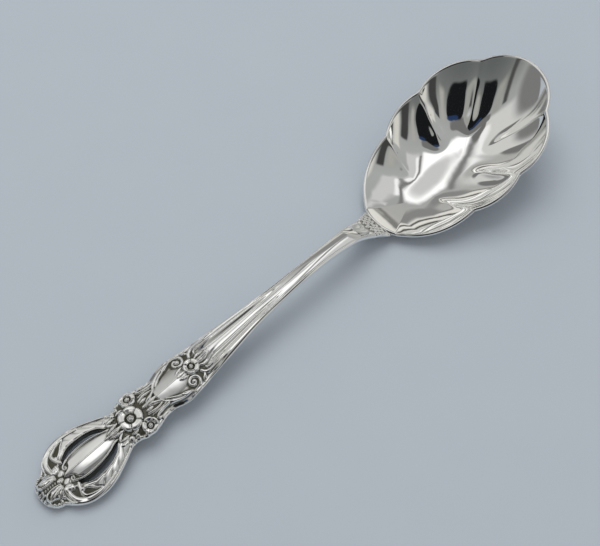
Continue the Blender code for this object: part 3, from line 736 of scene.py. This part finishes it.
    # The finial swells in its middle, the ground is sunk, and past the cluster the forms die out towards
    # the outline: mostly along the sprays and the stem, and wholly along the medallion's bare flanks.
    crown = (CROWN_RISE - CROWN_FALL * x) * ease(3.8, 1.6, side) * ease(0.2, 1.4, x) * ease(6.6, 4.6, x)
    ground = GROUND * ornamented * ease(0.1, 0.9, edge)
    bare = ease(32.5, 34.0, x) * ease(40.5, 39.0, x)
    low = 0.8 * ease(28.0, 32.0, x) * (1 - bare) * ease(1.3, 0.6, edge)
    kept = 1 - low - bare * ease(1.25, 0.9, edge)
    return centre.height * kept + crown - ground


STEM_RELIEF = (
    (44.5, 0.0), (51.0, 0.75), (60.0, 0.62), (75.0, 0.34), (88.0, 0.34), (95.0, 0.40), (97.8, 0.0),
)
STEM_PROFILE = (  # from the middle to the edge, where the stem is wide and where it is thin
    (0.0, 0.84), (0.12, 0.80), (0.22, 0.66), (0.27, 0.06), (0.31, 0.02), (0.35, 0.10), (0.52, 0.80),
    (0.56, 0.84), (0.63, 0.70), (0.69, 0.84), (0.75, 0.92), (0.82, 0.90), (1.0, 0.60),
)
THIN_PROFILE = (
    (0.0, 0.84), (0.06, 0.82), (0.68, 0.20), (0.735, 0.0), (0.79, 0.35), (0.86, 0.55), (1.0, 0.25),
)
THIN_START = 60.0
THIN_FULL = 72.0
PROFILE_ZERO = 0.35  # the profiles' height that lies level with the plate
PEBBLES = 14  # on each half of the neck
PEBBLE_START = 97.9
PEBBLE_SPREAD = 2.9
PEBBLE_STEP = 0.25
GOLDEN_SHARE = 0.618  # scatters the pebbles along the neck
CREASE = 101.2
RECESS_REACH = 4  # a recess lies below the mean height of this many cells to each side
RECESS_GAIN = 7.0
RECESS_START = 0.10
GROUND_TARNISH = 0.42
GROUND_HEIGHTS = (0.10, -0.20)  # where the ground's tarnish starts and is full, and likewise along x
GROUND_END = (46.0, 43.0)
RUBBED_EDGE = (0.5, 1.2)  # distances from the outline where tarnish starts and is full
WORN_START = (46.0, 50.0)  # where the stem's wear starts and is full, and likewise at its other end
WORN_END = (96.0, 92.0)


def stem_relief(x, y):
    """Ribs along the stem, fewer where it is thin, then the neck's pebbles and its crease at the bowl."""
    share = np.minimum(1.0, np.abs(y) / np.maximum(half_width(x), TINY))
    thin = ease(THIN_START, THIN_FULL, x)
    profile = curve(STEM_PROFILE, share) * (1 - thin) + curve(THIN_PROFILE, share) * thin
    ribs = curve(STEM_RELIEF, x) * (profile - PROFILE_ZERO)
    neck = Relief(x, np.abs(y), np.zeros_like(x))
    for pebble in range(PEBBLES):
        along = PEBBLE_START + PEBBLE_SPREAD * (GOLDEN_SHARE * pebble % 1.0)
        neck.ball(along, PEBBLE_STEP * pebble, 0.50, 0.62)
    neck.ridge(((CREASE, 0.0), (CREASE, 2.0), (CREASE, 4.1)), 0.16, 0.25, 1.0, 1.0)
    return ribs + neck.height


def blank_rows():
    """Distances of the mesh's rows from the tip, close together over the ornament."""
    ornament = ORNAMENT_LENGTH * np.linspace(0.0, 1.0, ORNAMENT_ROWS + 1) ** TIP_CROWDING
    stem = np.linspace(ORNAMENT_LENGTH, STEM_LENGTH, STEM_ROWS + 1)[1:]
    neck = np.linspace(STEM_LENGTH, BLANK_LENGTH, NECK_ROWS + 1)[1:]
    return np.concatenate((ornament, stem, neck))


def grid_sheet(bm, places, values, layer):
    """A grid of (row, column, xyz) places with a value at each. Returns its faces and their cells."""
    rows, columns = places.shape[:2]
    made = bmesh.ops.create_grid(bm, x_segments=rows - 1, y_segments=columns - 1, size=1.0)["verts"]
    at = np.array([v.co for v in made])
    row = np.round((at[:, 0] + 1) / 2 * (rows - 1)).astype(int)
    column = np.round((at[:, 1] + 1) / 2 * (columns - 1)).astype(int)
    for vert, r, c in zip(made, row, column):
        vert.co = in_frame(places[r, c])
        vert[layer] = values[r, c]
    index = {vert: (r, c) for vert, r, c in zip(made, row, column)}
    faces = {face for vert in made for face in vert.link_faces}
    return {face: np.min([index[v] for v in face.verts], axis=0) for face in faces}


def blurred(heights, reach):
    """A grid of heights averaged over some cells to each side, twice."""
    for axis in (0, 1) * 2:
        pad = [(0, 0), (0, 0)]
        pad[axis] = (reach + 1, reach)
        total = np.cumsum(np.pad(heights, pad, mode="edge"), axis=axis)
        width = 2 * reach + 1
        count = heights.shape[axis]
        end = np.take(total, range(width, width + count), axis)
        heights = (end - np.take(total, range(count), axis)) / width
    return heights


def slot_cells(cells, x, counts, skip):
    """The faces of a sheet that lie in the slots."""
    middle = skip + sum(counts)
    columns = {middle + counts[0] + k for k in range(counts[1])}
    columns |= {middle - counts[0] - 1 - k for k in range(counts[1])}
    rows = {r for r in range(len(x) - 1) if x[r] > SLOT_START and x[r + 1] < SLOT_END}
    return [face for face, (r, c) in cells.items() if r in rows and c in columns]


def blank_side(x, half, edge, inset, top, back):
    """Columns of the side, from the face's edge out to its widest line and in to the back's edge."""
    rise = top - back
    back_round = curve(WIDEST, x) * rise
    edge_round = rise - back_round
    turn = np.linspace(0.0, math.pi / 2, SIDE_COLUMNS // 2 + 1)[None, 1:]
    flat = curve(BEVEL, x)
    out_by = np.sin(turn) * (1 - flat) + turn / (math.pi / 2) * flat
    down_by = (1 - np.cos(turn)) * (1 - flat) + turn / (math.pi / 2) * flat
    upper = np.broadcast_arrays(x, edge + (half - edge) * out_by, top - edge_round * down_by)
    turn = np.linspace(0.0, math.pi / 2, SIDE_COLUMNS - SIDE_COLUMNS // 2)[None, :]
    lower_y = half - inset * (1 - np.cos(turn))
    lower = np.broadcast_arrays(x, lower_y, back + back_round * (1 - np.sin(turn)))
    return np.concatenate((np.stack(upper, axis=2), np.stack(lower, axis=2)), axis=1)


def tarnish_mask(x, from_edge, relief):
    """How much tarnish each point of the face keeps. It is rubbed off along the edge and the stem."""
    below = blurred(relief, RECESS_REACH) - relief
    hollow = np.clip(RECESS_GAIN * below - RECESS_START, 0.0, 1.0)
    ground = GROUND_TARNISH * ease(*GROUND_HEIGHTS, relief) * ease(*GROUND_END, x)
    inside = ease(*RUBBED_EDGE, from_edge)
    worn = ease(*WORN_START, x) * ease(*WORN_END, x)
    return np.clip((hollow + ground) * inside * (1 - worn), 0.0, 1.0)


def struck_blank():
    """Two grids, the struck face with its sides and the plain back, welded round the edge and pierced."""
    x = blank_rows()[:, None]
    half = half_width(x)
    edge = half - np.minimum(curve(EDGE_ROUND, x), ROUND_LIMIT * half)
    inset = np.minimum(BACK_ROUND, ROUND_LIMIT * half)
    shares = np.linspace(-1.0, 1.0, 2 * sum(COLUMNS) + 1)[None, :]
    y = across(x, shares, COLUMNS, edge)
    x_grid = np.broadcast_to(x, y.shape)
    relief = struck_relief(x_grid, y) + stem_relief(x_grid, y)
    out = np.abs(y) / np.maximum(half, TINY)
    flank = curve(FLANK, x_grid) * np.maximum(0.0, FLANK_WIDTH - half + np.abs(y))
    plate = curve(TOP, x_grid) - curve(FALL, x_grid) * out**2 - flank
    face = np.stack((x_grid, y, plate + relief), axis=2)
    back = np.maximum(curve(BACK, x), 0.0)
    side = blank_side(x, half, edge, inset, face[:, -1:, 2], back)
    flipped = side[:, ::-1] * (1.0, -1.0, 1.0)
    shares = np.linspace(-1.0, 1.0, 2 * sum(BACK_COLUMNS) + 1)[None, :]
    under = across(x, shares, BACK_COLUMNS, half - inset)
    under = np.stack(np.broadcast_arrays(x, under, back), axis=2)
    tarnish = tarnish_mask(x_grid, half - np.abs(y), relief)
    clean = np.zeros((len(x), side.shape[1]))

    bm = bmesh.new()
    layer = bm.verts.layers.float.new("recess")
    struck = np.concatenate((flipped, face, side), axis=1)
    struck_cells = grid_sheet(bm, struck, np.concatenate((clean, tarnish, clean), axis=1), layer)
    back_cells = grid_sheet(bm, under, np.zeros(under.shape[:2]), layer)
    holes = slot_cells(struck_cells, x[:, 0], COLUMNS, side.shape[1])
    holes += slot_cells(back_cells, x[:, 0], BACK_COLUMNS, 0)
    bmesh.ops.delete(bm, geom=holes, context="FACES")
    bmesh.ops.remove_doubles(bm, verts=bm.verts[:], dist=WELD)
    rims = [e for e in bm.edges if e.is_boundary]
    for vert in {v for e in rims for v in e.verts}:
        vert[layer] = 1.0
    for hand in (-1, 1):
        bmesh.ops.bridge_loops(bm, edges=[e for e in rims if hand * e.verts[0].co.y > 0])
    return bm


handle = finished(struck_blank(), "struck_handle", silver("struck_silver", True))
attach(handle, "root")
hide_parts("handle")

# The studio: a pale blue-grey sheet under the spoon, lit by one large soft box overhead and a little
# beyond it. The silver mirrors a grey room with bright panels overhead, dark and cream strips to its
# sides and low on its far wall, and black behind the camera.
FLOOR = (0.410, 0.452, 0.498, 1.0)
FLOOR_MOTTLE = (0.395, 0.438, 0.486, 1.0)
FLOOR_SIZE = 3.0
FLOOR_GAP = 0.00005  # below the spoon
FLOOR_ROUGHNESS = 0.85
FLOOR_SHINE = 0.2
MOTTLE = (60.0, 4.0)  # the noise's scale and detail


def floor_sheet():
    """A matt, faintly mottled sheet, wide enough to fill the picture."""
    bm = bmesh.new()
    bmesh.ops.create_grid(bm, x_segments=2, y_segments=2, size=FLOOR_SIZE / 2)
    bmesh.ops.translate(bm, verts=bm.verts[:], vec=(0.0, 0.0, -FLOOR_GAP))
    material = bpy.data.materials.new("pale_sheet")
    material.use_nodes = True
    tree = material.node_tree
    shader = tree.nodes["Principled BSDF"]
    shader.inputs["Roughness"].default_value = FLOOR_ROUGHNESS
    shader.inputs["Specular IOR Level"].default_value = FLOOR_SHINE
    colour = noise(tree, *MOTTLE).mix(FLOOR, FLOOR_MOTTLE)
    tree.links.new(colour.socket, shader.inputs["Base Color"])
    return finished(bm, "pale_sheet", material)


VIEW_TURN = math.radians(41.76)  # the camera's turn from the spoon's side, which the room is square to
KEY_TOWARDS = (-0.06, 0.42)  # sideways and away from the camera, as shares of a unit direction
KEY_DISTANCE = 1.2
KEY_SIZE = 0.9
KEY_RADIANCE = 3.2
EVEN_LIGHT = 0.62  # from the whole room, on all that isn't mirrored

sideways = Vector((math.cos(VIEW_TURN), -math.sin(VIEW_TURN), 0.0))
away = Vector((math.sin(VIEW_TURN), math.cos(VIEW_TURN), 0.0))
key_direction = sideways * KEY_TOWARDS[0] + away * KEY_TOWARDS[1]
key_direction.z = math.sqrt(1 - key_direction.length_squared)
lamp = bpy.data.lights.new("soft_box", "AREA")
lamp.shape = "SQUARE"
lamp.size = KEY_SIZE
lamp.energy = KEY_RADIANCE * math.pi * KEY_SIZE**2
soft_box = bpy.data.objects.new("soft_box", lamp)
soft_box.location = key_direction * KEY_DISTANCE
soft_box.rotation_euler = key_direction.to_track_quat("Z", "Y").to_euler()
soft_box.visible_glossy = False  # the room below is what the silver mirrors
bpy.context.scene.collection.objects.link(soft_box)
floor_sheet()

# What the silver mirrors, by direction: sideways and away from the camera, as shares of a unit direction.
WALLS = (  # place from 0 towards the camera to 1 away from it, and colour there
    (0.0, (0.11, 0.12, 0.12)), (0.12, (0.17, 0.18, 0.175)), (0.28, (0.33, 0.34, 0.33)),
    (0.5, (0.39, 0.40, 0.40)), (0.8, (0.36, 0.37, 0.365)), (0.885, (0.44, 0.435, 0.42)),
    (0.898, (0.16, 0.16, 0.155)), (0.91, (0.72, 0.71, 0.67)), (0.928, (0.76, 0.75, 0.71)),
    (0.936, (0.06, 0.06, 0.055)), (0.941, (0.06, 0.06, 0.055)), (0.948, (0.80, 0.79, 0.75)),
    (0.963, (0.72, 0.71, 0.67)), (0.969, (0.05, 0.05, 0.045)), (0.974, (0.05, 0.05, 0.045)),
    (0.981, (0.66, 0.65, 0.62)), (1.0, (0.55, 0.54, 0.51)),
)
PANELS = (  # left, right, near, far, softness, colour
    (-0.84, -0.25, -0.20, 0.63, 0.08, (0.61, 0.61, 0.60)),
    (-1.20, -0.88, -0.50, 0.62, 0.05, (0.19, 0.19, 0.19)),
    (-0.40, -0.24, 0.02, 0.58, 0.06, (0.88, 0.88, 0.88)),
    (0.25, 0.62, 0.04, 0.52, 0.05, (0.58, 0.58, 0.58)),
    (0.25, 0.32, 0.10, 0.52, 0.03, (0.92, 0.92, 0.92)),
    (-0.12, 0.19, 0.01, 0.61, 0.04, (1.10, 1.10, 1.10)),
    (-0.20, -0.145, 0.25, 0.66, 0.03, (0.20, 0.20, 0.20)),
    (0.205, 0.245, 0.08, 0.64, 0.015, (0.20, 0.20, 0.20)),
    (-0.56, -0.36, -0.75, -0.22, 0.06, (0.33, 0.33, 0.31)),
    (-0.70, -0.61, -0.80, -0.30, 0.03, (0.07, 0.07, 0.07)),
    (0.38, 0.52, -0.75, -0.22, 0.05, (0.39, 0.385, 0.36)),
    (0.61, 0.80, -0.80, -0.20, 0.03, (0.05, 0.05, 0.05)),
    (0.84, 0.95, -0.52, 0.10, 0.03, (0.64, 0.63, 0.585)),
)
SPOTS = (  # middle, half-sizes, power of the outline, softness, colour
    ((0.03, 0.40), (0.11, 0.15), 2, 0.60, (0.58, 0.58, 0.58)),
    ((-0.22, 0.04), (0.07, 0.24), 2, 0.40, (0.15, 0.15, 0.15)),
    ((-0.70, 0.63), (0.14, 0.11), 2, 0.50, (0.17, 0.17, 0.17)),
    ((-0.05, 0.765), (0.30, 0.075), 2, 0.60, (0.24, 0.24, 0.24)),
    ((-0.08, -0.20), (0.28, 0.10), 4, 0.50, (0.16, 0.16, 0.16)),
    ((-0.01, -0.58), (0.31, 0.29), 4, 0.25, (0.008, 0.009, 0.010)),
    ((0.15, -0.33), (0.13, 0.05), 2, 0.60, (0.02, 0.04, 0.10)),
)

world = bpy.data.worlds.new("studio_room")
world.use_nodes = True
tree = world.node_tree
start = Signal(tree)
direction = start.node("ShaderNodeTexCoord", {}, {}, "Generated")
product = {"operation": "DOT_PRODUCT"}
side, far = (
    start.node("ShaderNodeVectorMath", product, {0: direction, 1: tuple(way)}, "Value")
    for way in (sideways, away)
)


def rise(signal, begin, end):
    """0 before begin and 1 past end, eased between."""
    limits = {"Value": signal, "From Min": begin, "From Max": end}
    return signal.node("ShaderNodeMapRange", {"interpolation_type": "SMOOTHSTEP"}, limits)


stops = [(place, (*colour, 1.0)) for place, colour in WALLS]
room = start.node("ShaderNodeValToRGB", {"stops": stops}, {"Fac": far * 0.5 + 0.5})
for left, right, near, distant, soft, colour in PANELS:
    within = rise(side, left - soft, left + soft) * rise(side, right + soft, right - soft)
    within = within * rise(far, near - soft, near + soft) * rise(far, distant + soft, distant - soft)
    room = within.mix(room, (*colour, 1.0))
for middle, half, power, soft, colour in SPOTS:
    reach = start.maths("ABSOLUTE", (side - middle[0]) * (1 / half[0]), 0.0) ** power
    reach = reach + start.maths("ABSOLUTE", (far - middle[1]) * (1 / half[1]), 0.0) ** power
    room = rise(reach, 1 + soft, 1 - soft).mix(room, (*colour, 1.0))
mirrored = tree.nodes["Background"]
tree.links.new(room.socket, mirrored.inputs["Color"])
even = start.node("ShaderNodeBackground", {}, {"Color": (1.0, 1.0, 1.0, 1.0), "Strength": EVEN_LIGHT})
glossy = start.node("ShaderNodeLightPath", {}, {}, "Is Glossy Ray")
seen = start.node("ShaderNodeMixShader", {}, {0: glossy, 1: even, 2: Signal(tree, mirrored.outputs[0])})
tree.links.new(seen.socket, tree.nodes["World Output"].inputs["Surface"])
bpy.context.scene.world = world

# The camera stands high beside the handle's tip and looks down along the spoon.
CAMERA_PLACE = Vector((-101.97, -113.04, 265.44)) * MM
CAMERA_TARGET = Vector((0.49, 1.71, 5.0)) * MM
CAMERA_ROLL = math.radians(-1.32)
CAMERA_LENS = 78.0
CAMERA_SENSOR = 36.0
CAMERA_NEAREST = 0.01

camera = bpy.data.objects.new("camera", bpy.data.cameras.new("camera"))
camera.data.lens = CAMERA_LENS
camera.data.sensor_width = CAMERA_SENSOR
camera.data.clip_start = CAMERA_NEAREST
aim = (CAMERA_TARGET - CAMERA_PLACE).to_track_quat("-Z", "Y").to_matrix().to_4x4()
camera.matrix_world = Matrix.Translation(CAMERA_PLACE) @ aim @ Matrix.Rotation(CAMERA_ROLL, 4, "Z")
bpy.context.scene.collection.objects.link(camera)
bpy.context.scene.camera = camera
bpy.context.scene.view_settings.view_transform = "Standard"
